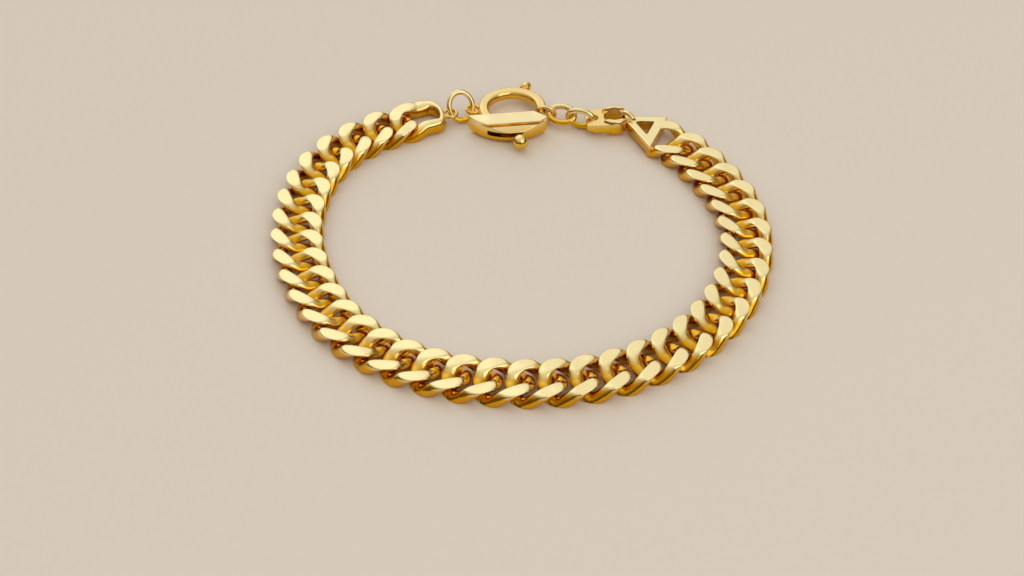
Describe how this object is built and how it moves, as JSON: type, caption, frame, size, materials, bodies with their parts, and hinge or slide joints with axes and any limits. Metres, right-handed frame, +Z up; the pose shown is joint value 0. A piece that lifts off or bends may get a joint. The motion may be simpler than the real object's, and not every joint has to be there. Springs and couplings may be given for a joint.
{
  "type": "curb chain bracelet",
  "caption": "Flat curb chain bracelet in polished gold, closed with a ring clasp, two end caps, a hook eye and small links, lying as a closed loop.",
  "frame": {"origin": "under the middle of the bracelet's bounding box, on the table it lies on", "axes": "+Z up from the table, +Y towards the clasp, +X towards the right end cap's side"},
  "size_m": [0.0686, 0.068, 0.0044],
  "materials": {
    "chain_gold": "polished",
    "finding_gold": "polished"
  },
  "bodies": {
    "bracelet": {"clasp_body": "finding_gold", "end_cap_left": "chain_gold", "end_cap_right": "chain_gold", "gate_ring": "finding_gold", "hook_eye": "finding_gold", "jump_ring": "finding_gold", "link_01": "chain_gold", "link_02": "chain_gold", "link_03": "chain_gold", "link_04": "chain_gold", "link_05": "chain_gold", "link_06": "chain_gold", "link_07": "chain_gold", "link_08": "chain_gold", "link_09": "chain_gold", "link_10": "chain_gold", "link_11": "chain_gold", "link_12": "chain_gold", "link_13": "chain_gold", "link_14": "chain_gold", "link_15": "chain_gold", "link_16": "chain_gold", "link_17": "chain_gold", "link_18": "chain_gold", "link_19": "chain_gold", "link_20": "chain_gold", "link_21": "chain_gold", "link_22": "chain_gold", "link_23": "chain_gold", "link_24": "chain_gold", "link_25": "chain_gold", "link_26": "chain_gold", "link_27": "chain_gold", "link_28": "chain_gold", "link_29": "chain_gold", "link_30": "chain_gold", "link_31": "chain_gold", "link_32": "chain_gold", "link_33": "chain_gold", "link_34": "chain_gold", "link_35": "chain_gold", "link_36": "chain_gold", "small_link_1": "finding_gold", "small_link_2": "finding_gold"},
    "bolt": {"clasp_bolt": "finding_gold"}
  },
  "joints": [
    {"name": "bolt_slide", "type": "hinge", "parent": "bracelet", "child": "bolt", "pos_m": [-0.00112, 0.02744, 0.0015], "axis": [0, 0, 1], "range_deg": [-36, 0], "stiffness_Nm_per_rad": 0.001, "springref_deg": 20.05}
  ]
}
